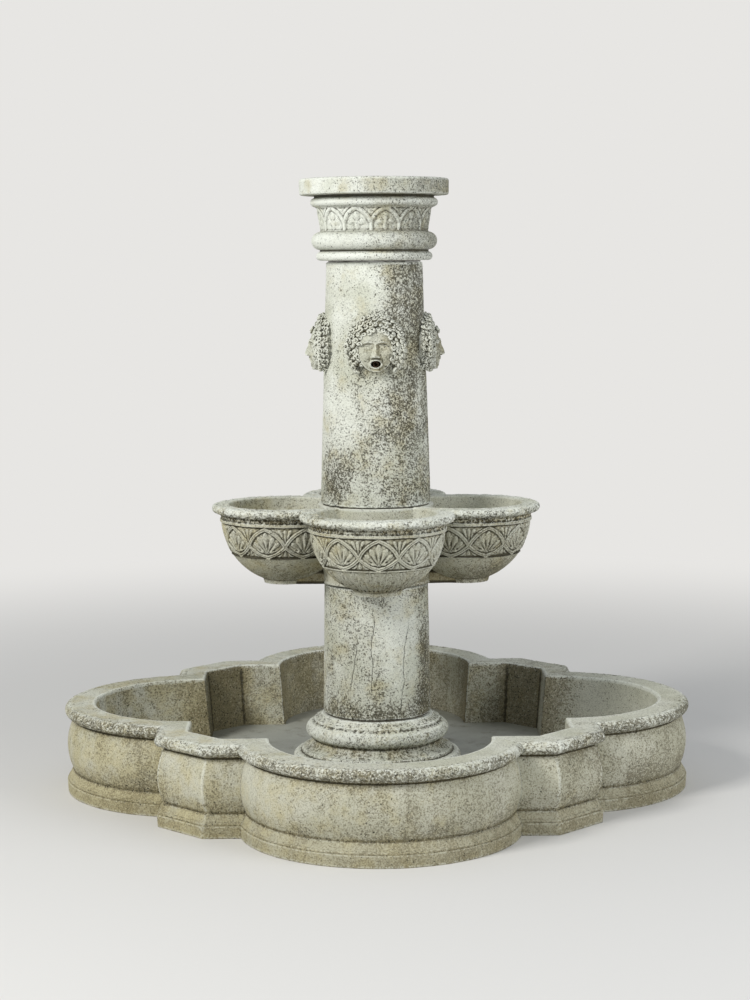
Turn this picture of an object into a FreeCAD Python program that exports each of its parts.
"""A cast stone pond fountain, built piece by piece.

Millimetres, +Z up, origin on the ground at the centre of the pond, front towards -Y.
Every size stands once in the sheet, and the pieces read it from there.
"""
import FreeCAD
import Part
import math
import os
import re

import Sketcher

Vector = FreeCAD.Vector
Rotation = FreeCAD.Rotation
Placement = FreeCAD.Placement

doc = FreeCAD.newDocument("PondFountain")

# Sizes that drive the fountain
SIZES = {
    # pond wall, widths are measured outwards from the inner edge of the rim
    "wall_tall": 258.0,
    "wall_draft": 15.0,
    "plinth_width": 88.0,
    "plinth_tall": 66.0,
    "waist_width": 71.0,
    "bulge_depth": 17.0,
    "neck_width": 66.0,
    "rim_width": 92.0,
    "rim_thick": 37.0,
    "lobe_centre": 530.0,
    "lobe_radius": 303.0,
    "corner_run": 430.0,
    "corner_flare": 58.0,
    "wall_joint": 0.8,
    # pond floor
    "floor_top": 65.0,
    "floor_gap": 0.5,
    # bed joints, dowels and fits
    "bed_joint": 3.0,
    "bed_inset": 6.0,
    "dowel_radius": 6.0,
    "dowel_circle": 122.0,
    "dowel_reach": 40.0,
    "fit_gap": 0.3,
    # pedestal base
    "base_tall": 152.0,
    "base_foot_radius": 238.0,
    "base_foot_round": 12.0,
    "base_torus_radius": 194.0,
    "base_torus_round": 19.0,
    "water_way_wide": 60.0,
    "water_way_tall": 30.0,
    # lower column and its access panel
    "shaft_tall": 386.0,
    "shaft_low_radius": 160.0,
    "shaft_top_radius": 153.5,
    "shaft_bore": 104.0,
    "hatch_width": 120.0,
    "hatch_tall": 200.0,
    "hatch_sill": 70.0,
    "hatch_back": 118.0,
    "hatch_ledge": 14.0,
    "hatch_gap": 0.8,
    "finger_radius": 12.0,
    # bowl tier
    "bowl_round": 194.0,
    "bowl_spread": 69.0,
    "bowl_wall": 27.0,
    "bowl_lip": 12.0,
    "bowl_rim_reach": 27.0,
    "bowl_rim_rise": 40.0,
    "bowl_band_tall": 97.0,
    "bowl_foot_radius": 69.0,
    "bowl_foot_tall": 13.0,
    "arm_tall": 40.0,
    "arm_inset": 6.0,
    "hub_radius": 168.0,
    "hub_drop": 5.0,
    "riser_hole": 26.0,
    "seat_gap": 4.0,
    # upper column with the masks
    "upper_tall": 706.0,
    "upper_low_radius": 162.5,
    "upper_top_radius": 140.5,
    "upper_bore": 96.0,
    "mask_rise": 462.0,
    "mask_wide": 158.0,
    "mask_tall": 176.0,
    "mask_sink": 2.1,
    "mask_hair_depth": 36.0,
    "face_wide": 106.0,
    "face_tall": 146.0,
    "face_depth": 45.0,
    "nose_reach": 57.0,
    "mouth_drop": 46.0,
    # capital
    "capital_tall": 236.0,
    "capital_bore": 96.0,
    "capital_neck": 160.0,
    "bell_low_radius": 157.5,
    "bell_top_radius": 169.0,
    "top_radius": 217.0,
    "top_thick": 48.0,
    # pump
    "foot_tall": 5.0,
    "foot_radius": 9.0,
    "foot_spread": 33.0,
    "pump_wide": 84.0,
    "pump_deep": 72.0,
    "pump_tall": 80.0,
    "pump_edge": 5.0,
    "casing_front": 18.0,
    "casing_back": 14.0,
    "casing_radius": 39.0,
    "casing_wall": 4.0,
    "flange_thick": 6.0,
    "intake_radius": 15.0,
    "screen_radius": 36.0,
    "screen_deep": 38.0,
    "screen_wall": 3.0,
    "slot_tall": 4.0,
    "screw_radius": 2.2,
    "screw_spread": 35.0,
    "screw_long": 24.0,
    "screw_head": 4.2,
    "impeller_radius": 29.0,
    "impeller_hub": 8.0,
    "blade_thick": 2.5,
    "blade_wide": 10.0,
    "rotor_radius": 12.0,
    "rotor_long": 58.0,
    "rotor_gap": 1.0,
    "spindle_radius": 2.5,
    "spindle_gap": 0.05,
    "gland_radius": 9.0,
    "gland_long": 12.0,
    # hose, valve and riser
    "hose_radius": 14.0,
    "hose_bore": 10.5,
    "barb_radius": 10.3,
    "barb_long": 26.0,
    "clamp_wide": 9.0,
    "clamp_thick": 1.8,
    "valve_below_hatch_middle": 10.0,
    "valve_radius": 22.0,
    "valve_half": 19.0,
    "valve_socket": 24.0,
    "valve_bore": 8.0,
    "ball_radius": 15.0,
    "stem_radius": 5.0,
    "stem_reach": 48.0,
    "boss_radius": 9.0,
    "boss_reach": 34.0,
    "lever_long": 82.0,
    "lever_wide": 16.0,
    "lever_thick": 4.0,
    "pipe_radius": 11.0,
    "pipe_bore": 9.5,
    "grommet_flange": 36.0,
    "grommet_deep": 25.0,
    "manifold_radius": 22.0,
    "manifold_half": 30.0,
    "stub_radius": 13.0,
    "stub_reach": 52.0,
    "spout_radius": 8.0,
    "spout_bore": 6.2,
    "spout_start": 32.0,
    "spout_end": 182.0,
    # drain
    "drain_back": 640.0,
    "drain_tail": 22.0,
    "drain_bore": 16.0,
    "drain_flange": 32.0,
    "drain_lip": 4.0,
    "plug_deep": 18.0,
}

# Sizes that follow from the driving ones
DERIVED = {
    "base_top": "floor_top + base_tall",
    "shaft_bottom": "base_top + bed_joint",
    "shaft_top": "shaft_bottom + shaft_tall",
    "tier_bottom": "shaft_top + bed_joint",
    "bowl_centre": "bowl_round + bowl_spread",
    "bowl_middle": "bowl_round - 1",
    "bowl_tall": "bowl_round + bowl_rim_rise",
    "bowl_rim_radius": "bowl_round + bowl_rim_reach",
    "bowl_open_radius": "bowl_round - bowl_wall",
    "bowl_band_top": "bowl_round - 13",
    "bowl_band_low": "bowl_band_top - bowl_band_tall",
    "hub_top": "tier_bottom + bowl_tall - hub_drop",
    "upper_bottom": "hub_top + bed_joint",
    "upper_top": "upper_bottom + upper_tall",
    "upper_slope": "(upper_low_radius - upper_top_radius) / upper_tall",
    "mask_height": "upper_bottom + mask_rise",
    "mask_seat": "upper_low_radius - upper_slope * mask_rise - mask_sink",
    "capital_bottom": "upper_top + bed_joint",
    "spout_height": "mask_height - mouth_drop",
    "pump_axis": "floor_top + foot_tall + pump_tall / 2",
    "valve_height": "shaft_bottom + hatch_sill + hatch_tall / 2 - valve_below_hatch_middle",
    "valve_bottom": "valve_height - valve_half - barb_long",
    "valve_top": "valve_height + valve_half + valve_socket",
    "manifold_bottom": "spout_height - manifold_half",
    "joint_run": "sqrt((lobe_radius + rim_width)^2 - rim_width^2)",
}

sheet = doc.addObject("Spreadsheet::Sheet", "Sizes")
for row, (alias, content) in enumerate(SIZES.items(), start=1):
    sheet.set(f"A{row}", alias.replace("_", " "))
    sheet.set(f"B{row}", str(content))
    sheet.setAlias(f"B{row}", alias)
for row, (alias, content) in enumerate(DERIVED.items(), start=len(SIZES) + 1):
    sheet.set(f"A{row}", alias.replace("_", " "))
    sheet.set(f"B{row}", "=" + content)
    sheet.setAlias(f"B{row}", alias)
doc.recompute()

FRONT, RIGHT, BACK, LEFT = -90, 0, 90, 180
SIDES = {"front": FRONT, "right": RIGHT, "back": BACK, "left": LEFT}
CORNERS = {"front_right": -45, "back_right": 45, "back_left": 135, "front_left": 225}

# Directions in which a cylinder can point
ALONG = {
    "x": Rotation(Vector(0, 1, 0), 90),
    "y": Rotation(Vector(1, 0, 0), -90),
    "z": Rotation(),
}
HERE = ("0", "0", "0")
FINISHED = []


def formula(text):
    """Write a size formula with each name pointing into the sheet."""

    def named(match):
        word = match.group()
        return "Sizes." + word if word in SIZES or word in DERIVED else word

    return re.sub(r"[a-z][a-z_0-9]*", named, str(text))


def value(text):
    """Work out a size formula as a plain number."""
    return float(sheet.evalExpression(formula(text)))


def bind(item, **formulas):
    """Tie properties of an object to size formulas."""
    for name, text in formulas.items():
        item.setExpression(name, formula(text))


def place(item, at=HERE, rotation=Rotation()):
    """Set an object at a point given as three size formulas."""
    item.Placement = Placement(Vector(*[value(text) for text in at]), rotation)
    for axis, text in zip("xyz", at):
        item.setExpression(f"Placement.Base.{axis}", formula(text))


def outwards(distance, angle):
    """Formulas of the point at a distance from the middle, on one of the four sides."""
    across = round(math.cos(math.radians(angle)))
    along = round(math.sin(math.radians(angle)))
    return f"({distance}) * ({across})", f"({distance}) * ({along})"


def finish(item):
    """Count an object as one finished piece."""
    FINISHED.append(item)
    return item


# Drawing and solid helpers
def arc_middle(start, end, bulge):
    """Middle point of an arc that bulges to the right of the way from start to end."""
    way = end - start
    right = Vector(way.y, -way.x, 0)
    right.normalize()
    return (start + end) * 0.5 + right * bulge


def draw(body, plane, name, outline):
    """Draw a closed outline of (x, y) or (x, y, bulge) corners on a plane of the body.

    A bulge turns the edge that arrives at the corner into an arc, convex where it is positive.
    """
    sketch = body.newObject("Sketcher::SketchObject", name)
    support = [item for item in body.Origin.OriginFeatures if item.Role == plane][0]
    sketch.AttachmentSupport = (support, [""])
    sketch.MapMode = "FlatFace"
    corners = [Vector(value(corner[0]), value(corner[1]), 0) for corner in outline]
    ends = []
    for index, start in enumerate(corners):
        following = (index + 1) % len(corners)
        end = corners[following]
        target = outline[following]
        if len(target) == 2:
            edge = sketch.addGeometry(Part.LineSegment(start, end))
        else:
            middle = arc_middle(start, end, value(target[2]))
            edge = sketch.addGeometry(Part.Arc(start, middle, end))
            across = f"({target[0]} - ({outline[index][0]}))"
            up = f"({target[1]} - ({outline[index][1]}))"
            radius = f"({across}^2 + {up}^2) / (8 * abs({target[2]})) + abs({target[2]}) / 2"
            size = sketch.addConstraint(Sketcher.Constraint("Radius", edge, value(radius)))
            sketch.setExpression(f"Constraints[{size}]", formula(radius))
        straight = (sketch.getPoint(edge, 1) - start).Length < (sketch.getPoint(edge, 2) - start).Length
        ends.append((edge, 1, 2) if straight else (edge, 2, 1))
    for index, corner in enumerate(corners):
        edge, point, _ = ends[index]
        before, _, last = ends[index - 1]
        sketch.addConstraint(Sketcher.Constraint("Coincident", before, last, edge, point))
        for kind, axis, amount, text in (
            ("DistanceX", -2, corner.x, outline[index][0]),
            ("DistanceY", -1, corner.y, outline[index][1]),
        ):
            if abs(amount) < 1e-9:
                sketch.addConstraint(Sketcher.Constraint("PointOnObject", edge, point, axis))
                continue
            size = sketch.addConstraint(Sketcher.Constraint(kind, -1, 1, edge, point, amount))
            sketch.setExpression(f"Constraints[{size}]", formula(text))
    return sketch


def turn(body, kind, sketch, angle=360):
    """Turn a drawn section about its upright axis, centred on the drawing plane."""
    feature = body.newObject(f"PartDesign::{kind}", f"{sketch.Name}_turn")
    feature.Profile = sketch
    feature.ReferenceAxis = (sketch, ["V_Axis"])
    feature.Angle = angle
    feature.Midplane = angle < 360
    body.Tip = feature
    return feature


def turned(label, outline, at=HERE, rotation=Rotation()):
    """A body turned about its own upright axis from half a section."""
    body = doc.addObject("PartDesign::Body", label)
    turn(body, "Revolution", draw(body, "XZ_Plane", f"{label}_section", outline))
    place(body, at, rotation)
    return body


def cylinder(name, radius, long, at=HERE, along="z"):
    item = doc.addObject("Part::Cylinder", name)
    bind(item, Radius=radius, Height=long)
    place(item, at, ALONG[along])
    return item


def upright(name, radius, low, high):
    return cylinder(name, radius, f"{high} - ({low})", ("0", "0", low))


def cone(name, first, second, long, at=HERE):
    item = doc.addObject("Part::Cone", name)
    bind(item, Radius1=first, Radius2=second, Height=long)
    place(item, at)
    return item


def block(name, wide, deep, tall, at):
    """A box centred across X, with its near lower edge at the given point."""
    item = doc.addObject("Part::Box", name)
    bind(item, Length=wide, Width=deep, Height=tall)
    place(item, (f"{at[0]} - ({wide}) / 2", at[1], at[2]))
    return item


def ellipsoid(name, deep, wide, tall, at):
    """An ellipsoid by its half depth along X, half width along Y and half height along Z."""
    item = doc.addObject("Part::Ellipsoid", name)
    bind(item, Radius1=tall, Radius2=deep, Radius3=wide)
    place(item, at)
    return item


def fuse(name, *items):
    item = doc.addObject("Part::MultiFuse", name)
    item.Shapes = list(items)
    return item


def cut(name, base, *tools):
    item = doc.addObject("Part::Cut", name)
    item.Base = base
    item.Tool = tools[0] if len(tools) == 1 else fuse(f"{name}_tools", *tools)
    return item


def common(name, first, second):
    item = doc.addObject("Part::Common", name)
    item.Base = first
    item.Tool = second
    return item


def group(name, items):
    """Several equal solids kept as one piece."""
    item = doc.addObject("Part::Compound", name)
    item.Links = list(items)
    return item


# Pond wall, one section for the lobes and the corners alike
WALL = [
    ("0 - wall_draft", "0"),
    ("plinth_width - 2", "0"),
    ("plinth_width", "plinth_tall / 2"),
    ("plinth_width - 6", "plinth_tall - 21", "2"),
    ("plinth_width - 9", "plinth_tall - 19"),
    ("waist_width", "plinth_tall", "0 - 3"),
    ("waist_width", "plinth_tall + 3"),
    ("neck_width", "wall_tall - rim_thick - 4", "bulge_depth"),
    ("neck_width + 6", "wall_tall - rim_thick"),
    ("rim_width", "wall_tall - rim_thick / 2", "5"),
    ("rim_width - 14", "wall_tall", "4"),
    ("6", "wall_tall"),
    ("0", "wall_tall - 6", "1.7"),
    ("0 - wall_draft", "floor_top"),
]


def pond_lobe(side, angle):
    """A half round wall piece, turned about the lobe's axis and cut off at its two joints.

    Its two toes are cut back to the line of the corners' feet, so the floor clears them all.
    """
    body = doc.addObject("PartDesign::Body", f"pond_lobe_{side}")
    section = [(f"lobe_radius + {corner[0]}", *corner[1:]) for corner in WALL]
    turn(body, "Revolution", draw(body, "XZ_Plane", f"lobe_{side}_section", section), 200)
    slope = "(joint_run - lobe_radius) / rim_width"
    for hand, sign in (("one", ""), ("other", "0 - ")):
        inner = f"lobe_radius - wall_joint / 2 - wall_draft * {slope}"
        outer = f"lobe_radius - wall_joint / 2 + rim_width * 1.5 * {slope}"
        far = "lobe_radius * 2"
        near = "lobe_radius / 2"
        beyond = [
            ("0 - wall_draft", f"{sign}({inner})"),
            ("rim_width * 1.5", f"{sign}({outer})"),
            ("rim_width * 1.5", f"{sign}({far})"),
            ("0 - lobe_radius", f"{sign}({far})"),
            ("0 - lobe_radius", f"{sign}({near})"),
            ("0 - wall_draft", f"{sign}({near})"),
        ]
        joint = body.newObject("PartDesign::Pocket", f"lobe_{side}_joint_{hand}")
        joint.Profile = draw(body, "XY_Plane", f"lobe_{side}_beyond_{hand}", beyond)
        joint.Type = "ThroughAll"
        joint.Reversed = True
        body.Tip = joint
    place(body, (*outwards("lobe_centre", angle), "0"), Rotation(Vector(0, 0, 1), angle))
    return body


def wall_wire(inner, outer):
    """The wall section standing on the plan line from the inner edge to the outer edge of the rim."""
    step = (outer - inner) * (1 / value("rim_width"))

    def standing(flat):
        return inner + step * flat.x + Vector(0, 0, flat.y)

    flat = [Vector(value(corner[0]), value(corner[1]), 0) for corner in WALL]
    edges = []
    for index, start in enumerate(flat):
        following = (index + 1) % len(flat)
        end = flat[following]
        if len(WALL[following]) == 2:
            edges.append(Part.LineSegment(standing(start), standing(end)).toShape())
        else:
            middle = arc_middle(start, end, value(WALL[following][2]))
            edges.append(Part.Arc(standing(start), standing(middle), standing(end)).toShape())
    return Part.Wire(edges)


def pond_corner(corner, angle):
    """A wall piece of two straights and a chamfer, mitred where they meet.

    Its plan widens towards the outside, so its four sections are joined by straight rulings.
    """
    inside = value("lobe_centre")
    outside = inside + value("rim_width")
    ends = (value("lobe_radius + wall_joint / 2"), value("joint_run + wall_joint / 2"))
    mitres = (value("corner_run"), value("corner_run + corner_flare"))
    sections = [wall_wire(Vector(inside, near, 0), Vector(outside, far, 0)) for near, far in (ends, mitres)]
    sections += [wall_wire(Vector(near, inside, 0), Vector(far, outside, 0)) for near, far in (mitres, ends)]
    item = doc.addObject("Part::Feature", f"pond_corner_{corner}")
    item.Shape = Part.makeLoft(sections, True, True)
    item.Placement = Placement(Vector(), Rotation(Vector(0, 0, 1), angle - 45))
    return item


for side, angle in SIDES.items():
    finish(pond_lobe(side, angle))
for corner, angle in CORNERS.items():
    finish(pond_corner(corner, angle))


# Pond floor, a slab that fills the plan inside the wall
def pond_floor():
    half = "(lobe_centre - wall_draft - floor_gap)"
    square = block("floor_square", f"2 * {half}", f"2 * {half}", "floor_top", ("0", f"0 - {half}", "0"))
    corner_inside = "(corner_run - wall_draft * corner_flare / rim_width)"
    reach = f"((lobe_centre - wall_draft + {corner_inside}) / sqrt(2) - floor_gap)"
    diamond = doc.addObject("Part::Box", "floor_diamond")
    bind(diamond, Length=f"2 * {reach}", Width=f"2 * {reach}", Height="floor_top")
    place(diamond, ("0", f"0 - {reach} * sqrt(2)", "0"), Rotation(Vector(0, 0, 1), 45))
    lobes = []
    for side, angle in SIDES.items():
        spot = (*outwards("lobe_centre", angle), "0")
        radius = "lobe_radius - wall_draft - floor_gap"
        lobes.append(cylinder(f"floor_lobe_{side}", radius, "floor_top", spot))
    slab = fuse("floor_slab", common("floor_middle", square, diamond), *lobes)
    hole = cylinder("floor_drain_hole", "drain_tail + fit_gap", "floor_top", ("0", "drain_back", "0"))
    return cut("pond_floor", slab, hole)


finish(pond_floor())


# Stacked stones of the middle
def dowel_holes(name, bed):
    """Two holes that take the dowels across a bed joint, with a little play."""
    holes = []
    for hand, sign in (("one", ""), ("other", "0 - ")):
        spot = f"{sign}dowel_circle / sqrt(2)"
        low = f"{bed} - dowel_reach - fit_gap"
        long = "2 * dowel_reach + bed_joint + 2 * fit_gap"
        holes.append(cylinder(f"{name}_dowel_hole_{hand}", "dowel_radius + fit_gap", long, (spot, spot, low)))
    return holes


BASE = [
    ("shaft_bore", "0"),
    ("base_foot_radius", "0"),
    ("base_foot_radius", "base_tall * 0.25", "base_foot_round"),
    ("base_foot_radius - 12", "base_tall * 0.26"),
    ("base_foot_radius - 14", "base_tall * 0.31"),
    ("base_foot_radius - 17", "base_tall * 0.33"),
    ("base_torus_radius - 4", "base_tall * 0.5", "0 - 7"),
    ("base_torus_radius", "base_tall * 0.53"),
    ("base_torus_radius", "base_tall * 0.83", "base_torus_round"),
    ("base_torus_radius - 5", "base_tall * 0.85"),
    ("base_torus_radius - 6", "base_tall * 0.9"),
    ("shaft_low_radius + 5", "base_tall - 2", "0 - 3"),
    ("shaft_low_radius", "base_tall"),
    ("shaft_bore", "base_tall"),
]
base_blank = turned("base_blank", BASE, ("0", "0", "floor_top"))
way_spot = ("0", "0", "floor_top")
water_way = block("base_water_way", "water_way_wide", "base_foot_radius * 2", "water_way_tall", way_spot)
finish(cut("pedestal_base", base_blank, water_way, *dowel_holes("base", "base_top")))

SHAFT = [
    ("shaft_bore", "0"),
    ("shaft_low_radius", "0"),
    ("shaft_top_radius", "shaft_tall"),
    ("shaft_bore", "shaft_tall"),
]
shaft_blank = turned("shaft_blank", SHAFT, ("0", "0", "shaft_bottom"))
hatch_low = "shaft_bottom + hatch_sill"
hatch_spot = ("0", "hatch_back", hatch_low)
hatch_rebate = block("hatch_rebate", "hatch_width", "shaft_low_radius", "hatch_tall", hatch_spot)
hatch_way = block(
    "hatch_way",
    "hatch_width - 2 * hatch_ledge",
    "shaft_low_radius * 2",
    "hatch_tall - 2 * hatch_ledge",
    ("0", "0", f"{hatch_low} + hatch_ledge"),
)
finish(
    cut(
        "lower_column",
        shaft_blank,
        hatch_rebate,
        hatch_way,
        *dowel_holes("shaft_low", "base_top"),
        *dowel_holes("shaft_top", "shaft_top"),
    )
)

shaft_spot = ("0", "0", "shaft_bottom")
panel_round = cone("panel_round", "shaft_low_radius", "shaft_top_radius", "shaft_tall", shaft_spot)
panel_slab = block(
    "panel_slab",
    "hatch_width - 2 * hatch_gap",
    "shaft_low_radius",
    "hatch_tall - hatch_gap - fit_gap",
    ("0", "hatch_back + fit_gap", f"{hatch_low} + fit_gap"),
)
panel_middle = f"{hatch_low} + hatch_tall / 2"
finger_spot = ("0", "0", panel_middle)
finger_hole = cylinder("panel_finger_hole", "finger_radius", "shaft_low_radius * 2", finger_spot, "y")
finish(cut("access_panel", common("panel_blank", panel_round, panel_slab), finger_hole))


# Bowl tier, four round bowls about a hub
def on_bowl(height):
    """Formula of the round bowl's radius at a height above the tier's underside."""
    return f"sqrt(bowl_round^2 - (({height}) - bowl_middle)^2)"


def bowl_arc(low, high):
    """Formula of the bulge of the round bowl's section between two heights."""
    across = f"({on_bowl(high)} - {on_bowl(low)})"
    up = f"(({high}) - ({low}))"
    return f"bowl_round - sqrt(bowl_round^2 - ({across}^2 + {up}^2) / 4)"


LEDGE_TOP = "bowl_band_low + 5"
BOWL = [
    ("0", "0"),
    ("bowl_foot_radius", "0"),
    (on_bowl("bowl_foot_tall"), "bowl_foot_tall"),
    (on_bowl("bowl_band_low"), "bowl_band_low", bowl_arc("bowl_foot_tall", "bowl_band_low")),
    (f"{on_bowl('bowl_band_low')} + 4", "bowl_band_low + 3"),
    (on_bowl(LEDGE_TOP), LEDGE_TOP),
    (on_bowl("bowl_band_top"), "bowl_band_top", bowl_arc(LEDGE_TOP, "bowl_band_top")),
    ("bowl_round + 3", "bowl_band_top + 2"),
    ("bowl_round + 3", "bowl_band_top + 10"),
    ("bowl_round", "bowl_band_top + 13"),
    ("bowl_round + 2", "bowl_tall - 32"),
    ("bowl_rim_radius - 16", "bowl_tall - 27"),
    ("bowl_rim_radius", "bowl_tall - 13", "4"),
    ("bowl_rim_radius - 12", "bowl_tall", "3.5"),
    ("0", "bowl_tall"),
]
BOWL_HOLLOW = [
    ("0", "bowl_tall - bowl_lip - bowl_open_radius"),
    ("bowl_open_radius", "bowl_tall - bowl_lip", "bowl_open_radius * (1 - sqrt(0.5))"),
    ("bowl_open_radius", "bowl_tall - 6"),
    ("bowl_open_radius + 6", "bowl_tall", "0 - 1.7"),
    ("bowl_open_radius + 6", "bowl_tall + 5"),
    ("0", "bowl_tall + 5"),
]


def bowl_tier():
    """Four bowls, the arms under them and the hub, cast as one stone.

    One quarter is made between the two diagonals and repeated. The quarters meet face to face there,
    so their shapes are joined exactly, without a tolerance.
    """
    spot = ("bowl_centre", "0", "tier_bottom")
    bowl = turned("tier_bowl", BOWL, spot)
    hollow = turned("tier_bowl_hollow", BOWL_HOLLOW, spot)
    hub = upright("tier_hub", "hub_radius", "tier_bottom", "hub_top")
    arm_width = "2 * (bowl_foot_radius - arm_inset)"
    arm_spot = ("bowl_centre / 2", f"0 - {arm_width} / 2", "tier_bottom")
    arm = block("tier_arm", "bowl_centre", arm_width, "arm_tall", arm_spot)
    wedge = doc.addObject("Part::Box", "tier_wedge")
    bind(wedge, Length="3 * bowl_centre", Width="3 * bowl_centre", Height="bowl_tall")
    place(wedge, ("0", "0", "tier_bottom"), Rotation(Vector(0, 0, 1), -45))
    holes = [
        upright("tier_riser_way", "riser_hole", "tier_bottom", "hub_top"),
        upright("tier_column_seat", "upper_low_radius + seat_gap", "hub_top", "tier_bottom + bowl_tall + 5"),
    ]
    holes += dowel_holes("tier_low", "shaft_top") + dowel_holes("tier_top", "hub_top")
    doc.recompute()
    quarter = bowl.Shape.cut(hollow.Shape).multiFuse([hub.Shape, arm.Shape]).common(wedge.Shape)
    quarters = [quarter.rotated(Vector(), Vector(0, 0, 1), angle) for angle in SIDES.values()]
    stone = quarters[0].multiFuse(quarters[1:]).removeSplitter()
    tier = doc.addObject("Part::Feature", "bowl_tier")
    tier.Shape = stone.cut([item.Shape for item in holes])
    return tier


finish(bowl_tier())

UPPER = [
    ("upper_bore", "0"),
    ("upper_low_radius", "0"),
    ("upper_top_radius", "upper_tall"),
    ("upper_bore", "upper_tall"),
]
upper_blank = turned("upper_blank", UPPER, ("0", "0", "upper_bottom"))
spout_ways = []
for along, start in (("x", ("0 - upper_low_radius", "0")), ("y", ("0", "0 - upper_low_radius"))):
    way_radius = "spout_radius + fit_gap"
    way_long = "2 * upper_low_radius"
    spot = (*start, "spout_height")
    spout_ways.append(cylinder(f"spout_way_{along}", way_radius, way_long, spot, along))
finish(
    cut(
        "mask_column",
        upper_blank,
        *spout_ways,
        *dowel_holes("upper_low", "hub_top"),
        *dowel_holes("upper_top", "upper_top"),
    )
)

CAPITAL = [
    ("capital_bore", "0"),
    ("capital_neck", "0"),
    ("capital_neck", "capital_tall * 0.108", "10"),
    ("capital_neck - 2", "capital_tall * 0.115"),
    ("capital_neck - 2", "capital_tall * 0.13"),
    ("capital_neck + 5", "capital_tall * 0.136"),
    ("capital_neck + 5", "capital_tall * 0.347", "18.5"),
    ("bell_low_radius", "capital_tall * 0.356"),
    ("bell_top_radius", "capital_tall * 0.645", "0 - 1"),
    ("bell_top_radius + 4", "capital_tall * 0.653"),
    ("bell_top_radius + 7", "capital_tall * 0.657"),
    ("bell_top_radius + 7", "capital_tall * 0.763", "10"),
    ("bell_top_radius + 5", "capital_tall * 0.767"),
    ("bell_top_radius + 5", "capital_tall * 0.792"),
    ("top_radius - 4", "capital_tall * 0.797"),
    ("top_radius", "capital_tall * 0.822", "1.5"),
    ("top_radius + 1", "capital_tall - 8"),
    ("top_radius - 6", "capital_tall", "2"),
    ("0", "capital_tall"),
    ("0", "capital_tall - top_thick"),
    ("capital_bore", "capital_tall - top_thick"),
]
capital_blank = turned("capital_blank", CAPITAL, ("0", "0", "capital_bottom"))
finish(cut("capital", capital_blank, *dowel_holes("capital", "upper_top")))


# Bedding between the stones, and the dowels that cross it
BEDS = {
    "base": ("base_top", "shaft_low_radius", "shaft_bore"),
    "shaft": ("shaft_top", "shaft_top_radius", "shaft_bore"),
    "hub": ("hub_top", "upper_low_radius", "upper_bore"),
    "upper": ("upper_top", "upper_top_radius", "upper_bore"),
}
beds = []
dowels = []
for name, (height, radius, bore) in BEDS.items():
    ring = cylinder(f"bed_{name}", f"{radius} - bed_inset", "bed_joint", ("0", "0", height))
    inside = cylinder(f"bed_{name}_inside", f"{bore} + bed_inset", "bed_joint", ("0", "0", height))
    beds.append(cut(f"bed_{name}_ring", ring, inside, *dowel_holes(f"bed_{name}", height)))
    for hand, sign in (("one", ""), ("other", "0 - ")):
        spot = f"{sign}dowel_circle / sqrt(2)"
        low = f"{height} - dowel_reach"
        long = "2 * dowel_reach + bed_joint"
        dowels.append(cylinder(f"dowel_{name}_{hand}", "dowel_radius", long, (spot, spot, low)))
finish(group("setting_beds", beds))
finish(group("dowels", dowels))


# Masks, plain heads seated round the upper column, each with a bored mouth
def mask(side, angle):
    middle = ("mask_seat", "0", "mask_height")
    lower = ("mask_seat", "0", "mask_height - 10")
    bridge = ("mask_seat + nose_reach - 14", "0", "mask_height - 14")
    hair = ellipsoid(f"hair_{side}", "mask_hair_depth", "mask_wide / 2", "mask_tall / 2", middle)
    face = ellipsoid(f"face_{side}", "face_depth", "face_wide / 2", "face_tall / 2", lower)
    nose = ellipsoid(f"nose_{side}", "14", "10", "22", bridge)
    seat = cone(
        f"mask_seat_{side}",
        "upper_low_radius + fit_gap",
        "upper_top_radius + fit_gap",
        "upper_tall",
        ("0", "0", "upper_bottom"),
    )
    mouth = cylinder(f"mouth_{side}", "spout_radius + fit_gap", "top_radius", ("0", "0", "spout_height"), "x")
    head = cut(f"mask_{side}", fuse(f"head_{side}", hair, face, nose), seat, mouth)
    head.Placement = Placement(Vector(), Rotation(Vector(0, 0, 1), angle))
    return head


for side, angle in SIDES.items():
    finish(mask(side, angle))


# Pump in the pedestal base, its rotor lying along Y
def pump_block(name, deep, front):
    return block(name, "pump_wide", deep, "pump_tall", ("0", front, "floor_top + foot_tall"))


def at_screws(name, radius, long, front):
    """Four cylinders along Y on the corners of the casing flange."""
    items = []
    for number, (across, up) in enumerate(((-1, -1), (1, -1), (1, 1), (-1, 1)), start=1):
        spot = (f"screw_spread * ({across})", front, f"pump_axis + screw_spread * ({up})")
        items.append(cylinder(f"{name}_{number}", radius, long, spot, "y"))
    return items


def on_axis(name, radius, long, front):
    return cylinder(name, radius, long, ("0", front, "pump_axis"), "y")


pump_plain = pump_block("pump_plain", "pump_deep", "casing_back")
pump_eased = doc.addObject("Part::Chamfer", "pump_eased")
pump_eased.Base = pump_plain
doc.recompute()
pump_eased.Edges = [
    (number, value("pump_edge"), value("pump_edge"))
    for number, edge in enumerate(pump_plain.Shape.Edges, start=1)
    if abs(edge.tangentAt(edge.FirstParameter).y) > 0.9
]
finish(
    cut(
        "pump_body",
        pump_eased,
        on_axis("rotor_bore", "rotor_radius + rotor_gap", "rotor_long + rotor_gap", "casing_back"),
        on_axis("spindle_socket", "spindle_radius + spindle_gap", "pump_deep - 4", "casing_back"),
        *at_screws("body_screw_hole", "screw_radius", "screw_long", "casing_back"),
    )
)

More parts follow.
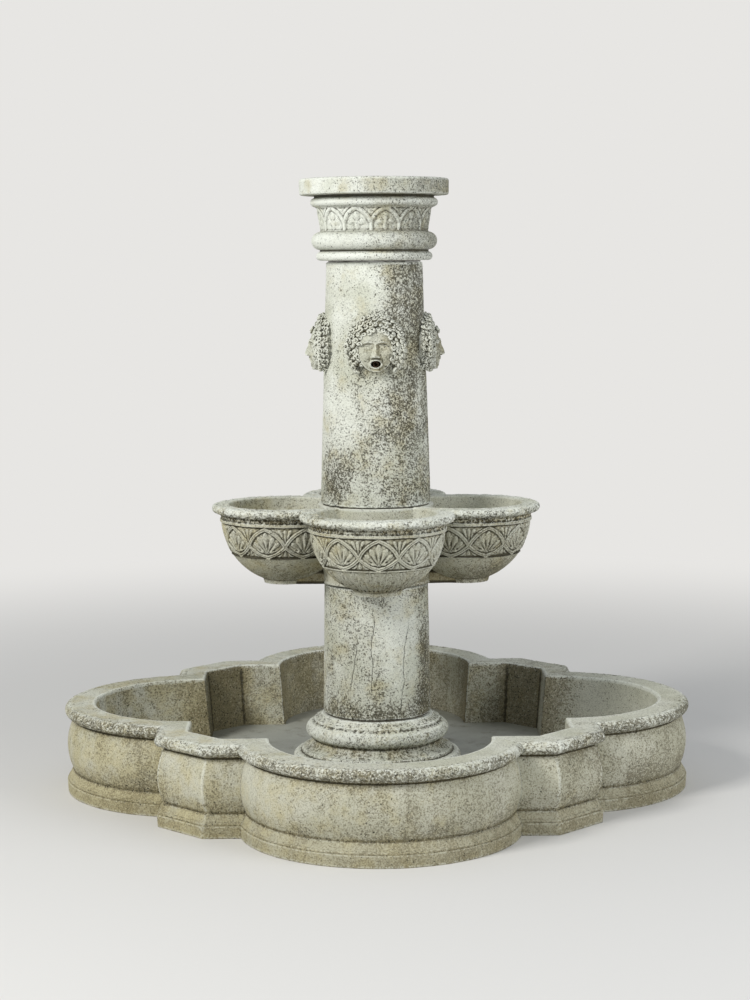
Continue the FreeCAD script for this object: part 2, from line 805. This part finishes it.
casing_solid = fuse(
    "casing_solid",
    pump_block("casing_flange", "flange_thick", "casing_back - flange_thick"),
    on_axis("casing_round", "casing_radius", "casing_front + casing_back", "0 - casing_front"),
    cylinder("casing_outlet", "barb_radius", "casing_radius + barb_long", ("0", "0", "pump_axis")),
)
casing_hollow = cut(
    "casing_hollow",
    casing_solid,
    on_axis(
        "casing_room",
        "casing_radius - casing_wall",
        "casing_front + casing_back - casing_wall",
        "casing_wall - casing_front",
    ),
    on_axis("casing_intake", "intake_radius", "casing_wall", "0 - casing_front"),
    cylinder("outlet_bore", "valve_bore", "casing_radius + barb_long", ("0", "0", "pump_axis")),
    *at_screws("casing_screw_hole", "screw_radius + fit_gap", "flange_thick", "casing_back - flange_thick"),
)
spider_spot = ("0", "0 - casing_front", "pump_axis - 5")
spider = block("spider", "2 * intake_radius + 2", "casing_wall", "10", spider_spot)
spider_hole = on_axis("spider_hole", "spindle_radius + spindle_gap", "casing_wall", "0 - casing_front")
finish(cut("pump_casing", fuse("casing_with_spider", casing_hollow, spider), spider_hole))

screw_start = "casing_back - flange_thick"
screws = []
shanks = at_screws("screw_shank", "screw_radius - 0.1", "flange_thick + screw_long - 2", screw_start)
heads = at_screws("screw_head", "screw_head", "4", f"{screw_start} - 4")
for number, (shank, head) in enumerate(zip(shanks, heads), start=1):
    screws.append(fuse(f"screw_{number}", shank, head))
finish(group("casing_screws", screws))

screen_front = "0 - casing_front - screen_deep"
screen_back = f"{screen_front} + screen_wall"
screen_cup = cut(
    "screen_cup",
    on_axis("screen_outside", "screen_radius", "screen_deep", screen_front),
    on_axis("screen_inside", "screen_radius - screen_wall", "screen_deep - screen_wall", screen_back),
)
slots = []
for number in range(-3, 4):
    low = f"pump_axis + slot_tall * 2 * ({number}) - slot_tall / 2"
    spot = ("0", screen_front, low)
    slots.append(block(f"slot_{number + 4}", "screen_radius * 2.2", "screen_deep - 10", "slot_tall", spot))
finish(cut("intake_screen", screen_cup, *slots))

impeller_front = "0 - blade_wide"
blades = []
for number in range(6):
    blade = doc.addObject("Part::Box", f"blade_{number + 1}")
    bind(blade, Length="impeller_radius", Width="blade_wide", Height="blade_thick")
    place(blade, ("0", impeller_front, "pump_axis"), Rotation(Vector(0, 1, 0), number * 60))
    blades.append(blade)
impeller_solid = fuse(
    "impeller_solid",
    *blades,
    on_axis("impeller_hub_round", "impeller_hub", "blade_wide + 2", impeller_front),
    on_axis("impeller_disc", "impeller_radius", "3", "0"),
    on_axis("rotor_neck", "impeller_hub", "casing_back + 2 * rotor_gap", "0"),
    on_axis("rotor_magnet", "rotor_radius", "rotor_long - 2 * rotor_gap", "casing_back + rotor_gap"),
)
rotor_hole = on_axis("rotor_hole", "spindle_radius + spindle_gap", "pump_deep + blade_wide", impeller_front)
finish(cut("impeller", impeller_solid, rotor_hole))
spindle_long = "casing_front + casing_back + pump_deep - 5"
finish(on_axis("impeller_shaft", "spindle_radius", spindle_long, "0 - casing_front"))

feet = []
foot_number = 0
for across in (-1, 1):
    for along in ("casing_back + foot_radius", "casing_back + pump_deep - foot_radius"):
        foot_number += 1
        spot = (f"foot_spread * ({across})", along, "floor_top")
        feet.append(cone(f"foot_{foot_number}", "foot_radius", "foot_radius - 3", "foot_tall", spot))
finish(group("pump_feet", feet))

gland_front = "casing_back + pump_deep"
gland_height = "pump_axis + 15"
gland_solid = fuse(
    "gland_solid",
    cylinder("gland_nut", "gland_radius", "gland_long / 2", ("0", gland_front, gland_height), "y"),
    cylinder("gland_sleeve", "gland_radius - 3", "gland_long", ("0", gland_front, gland_height), "y"),
)
gland_mouth = ("0", f"{gland_front} + 2", gland_height)
gland_way = cylinder("gland_way", "gland_radius - 5", "gland_long - 2", gland_mouth, "y")
finish(cut("cord_gland", gland_solid, gland_way))


# Hose from the pump up to the valve
def tube(name, radius, bore, long, at):
    return cut(name, cylinder(f"{name}_solid", radius, long, at), cylinder(f"{name}_bore", bore, long, at))


hose_low = "pump_axis + casing_radius + 1"
hose_high = "valve_height - valve_half - 1"
finish(tube("riser_hose", "hose_radius", "hose_bore", f"{hose_high} - ({hose_low})", ("0", "0", hose_low)))

clamps = []
for name, low in (("low", f"{hose_low} + 5"), ("high", f"{hose_high} - 5 - clamp_wide")):
    band = cylinder(f"clamp_{name}_band", "hose_radius + clamp_thick", "clamp_wide", ("0", "0", low))
    worm = block(f"clamp_{name}_worm", "16", "hose_radius + 8", "clamp_wide", ("0", "0", low))
    hole = cylinder(f"clamp_{name}_hole", "hose_radius + 0.1", "clamp_wide", ("0", "0", low))
    clamps.append(cut(f"clamp_{name}", fuse(f"clamp_{name}_solid", band, worm), hole))
finish(group("hose_clamps", clamps))


# Ball valve, its stem pointing back to the access panel
def sphere(name, radius):
    item = doc.addObject("Part::Sphere", name)
    bind(item, Radius=radius)
    place(item, ("0", "0", "valve_height"))
    return item


valve_solid = fuse(
    "valve_solid",
    upright("valve_barb", "barb_radius", "valve_bottom", "valve_height"),
    upright("valve_round", "valve_radius", "valve_height - valve_half", "valve_height + valve_half"),
    upright("valve_collar", "pipe_radius + 5", "valve_height", "valve_top"),
    cylinder("valve_boss", "boss_radius", "boss_reach", ("0", "0", "valve_height"), "y"),
)
finish(
    cut(
        "valve_body",
        valve_solid,
        upright("valve_way", "valve_bore", "valve_bottom", "valve_top"),
        upright("valve_pipe_socket", "pipe_radius + 0.2", "valve_top - valve_socket + 4", "valve_top"),
        sphere("valve_room", "ball_radius + 0.1"),
        cylinder("valve_stem_way", "stem_radius + 0.1", "boss_reach", ("0", "0", "valve_height"), "y"),
    )
)
ball_solid = fuse(
    "ball_solid",
    sphere("ball_round", "ball_radius"),
    cylinder("ball_stem", "stem_radius", "stem_reach", ("0", "0", "valve_height"), "y"),
)
ball_way = upright("ball_way", "valve_bore", "valve_height - ball_radius", "valve_height + ball_radius")
finish(cut("valve_ball", ball_solid, ball_way))

lever_front = "boss_reach + 4"
lever_low = ("0", lever_front, "valve_height - lever_wide / 2")
lever_bar = block("lever_bar", "lever_wide", "lever_thick", "lever_long + lever_wide / 2", lever_low)
grip_spot = ("0", f"{lever_front} - 2", "valve_height + lever_long")
lever_grip = cylinder("lever_grip", "lever_wide / 2 + 1", "lever_thick + 4", grip_spot, "y")
stem_spot = ("0", lever_front, "valve_height")
lever_hole = cylinder("lever_hole", "stem_radius + 0.1", "lever_thick", stem_spot, "y")
finish(cut("valve_lever", fuse("lever_solid", lever_bar, lever_grip), lever_hole))
nut_spot = ("0", f"{lever_front} + lever_thick", "valve_height")
nut_ring = cylinder("lever_nut_ring", "stem_radius + 4", "4", nut_spot, "y")
nut_hole = cylinder("lever_nut_hole", "stem_radius + 0.1", "4", nut_spot, "y")
finish(cut("lever_nut", nut_ring, nut_hole))

# Riser, grommet, manifold and the four spouts
pipe_low = "valve_top - valve_socket + 4"
pipe_high = "manifold_bottom + 16"
finish(tube("riser_pipe", "pipe_radius", "pipe_bore", f"{pipe_high} - ({pipe_low})", ("0", "0", pipe_low)))

GROMMET = [
    ("pipe_radius + 0.1", "0"),
    ("riser_hole - 0.2", "0"),
    ("riser_hole - 0.2", "grommet_deep"),
    ("grommet_flange", "grommet_deep"),
    ("grommet_flange", "grommet_deep + 5"),
    ("pipe_radius + 0.1", "grommet_deep + 5"),
]
finish(turned("tier_grommet", GROMMET, ("0", "0", "hub_top - grommet_deep")))

manifold_top = "spout_height + manifold_half * 0.7"
manifold_parts = [upright("manifold_round", "manifold_radius", "manifold_bottom", manifold_top)]
manifold_ways = [
    upright("manifold_socket", "pipe_radius + 0.2", "manifold_bottom", "manifold_bottom + 16"),
    upright("manifold_way", "pipe_bore - 1", "manifold_bottom", "spout_height + spout_bore"),
]
for along, start in (("x", ("0 - stub_reach", "0")), ("y", ("0", "0 - stub_reach"))):
    spot = (*start, "spout_height")
    manifold_parts.append(cylinder(f"stub_{along}", "stub_radius", "2 * stub_reach", spot, along))
    manifold_ways.append(cylinder(f"stub_way_{along}", "spout_radius + 0.2", "2 * stub_reach", spot, along))
finish(cut("manifold", fuse("manifold_solid", *manifold_parts), *manifold_ways))

for side, angle in SIDES.items():
    start = ("spout_start", "0", "spout_height")
    long = "spout_end - spout_start"
    solid = cylinder(f"spout_{side}_solid", "spout_radius", long, start, "x")
    bore = cylinder(f"spout_{side}_bore", "spout_bore", long, start, "x")
    spout = cut(f"spout_tube_{side}", solid, bore)
    spout.Placement = Placement(Vector(), Rotation(Vector(0, 0, 1), angle))
    finish(spout)

# Drain in the floor of the back lobe, with its lift out plug
DRAIN = [
    ("drain_bore", "0"),
    ("drain_tail", "0"),
    ("drain_tail", "floor_top"),
    ("drain_flange", "floor_top"),
    ("drain_flange", "floor_top + drain_lip - 1"),
    ("drain_flange - 1", "floor_top + drain_lip"),
    ("drain_bore + 3", "floor_top + drain_lip"),
    ("drain_bore", "floor_top - plug_deep - 2"),
]
finish(turned("drain_body", DRAIN, ("0", "drain_back", "0")))
PLUG = [
    ("0", "0"),
    ("drain_bore - fit_gap", "0"),
    ("drain_bore + 3 - fit_gap - 0.3", "plug_deep + drain_lip"),
    ("drain_bore", "plug_deep + drain_lip + 5"),
    ("6", "plug_deep + drain_lip + 6"),
    ("5", "plug_deep + drain_lip + 16"),
    ("10", "plug_deep + drain_lip + 18"),
    ("10", "plug_deep + drain_lip + 24"),
    ("8", "plug_deep + drain_lip + 26"),
    ("0", "plug_deep + drain_lip + 26"),
]
finish(turned("drain_plug", PLUG, ("0", "drain_back", "floor_top - plug_deep")))

# Every object must have built, and each piece is written to its own file
doc.recompute()
for item in doc.Objects:
    if "Invalid" in item.State or "Error" in item.State:
        raise RuntimeError(f"{item.Name} did not build: {item.State}")
os.makedirs("parts", exist_ok=True)
for item in FINISHED:
    if item.Shape.isNull() or not item.Shape.isValid() or not item.Shape.Solids:
        raise RuntimeError(f"{item.Label} has no sound shape")
    item.Shape.exportStep(f"parts/{item.Label}.step")
    print(f"{item.Label}: solids {len(item.Shape.Solids)}, volume {item.Shape.Volume / 1e3:.1f} cm3")
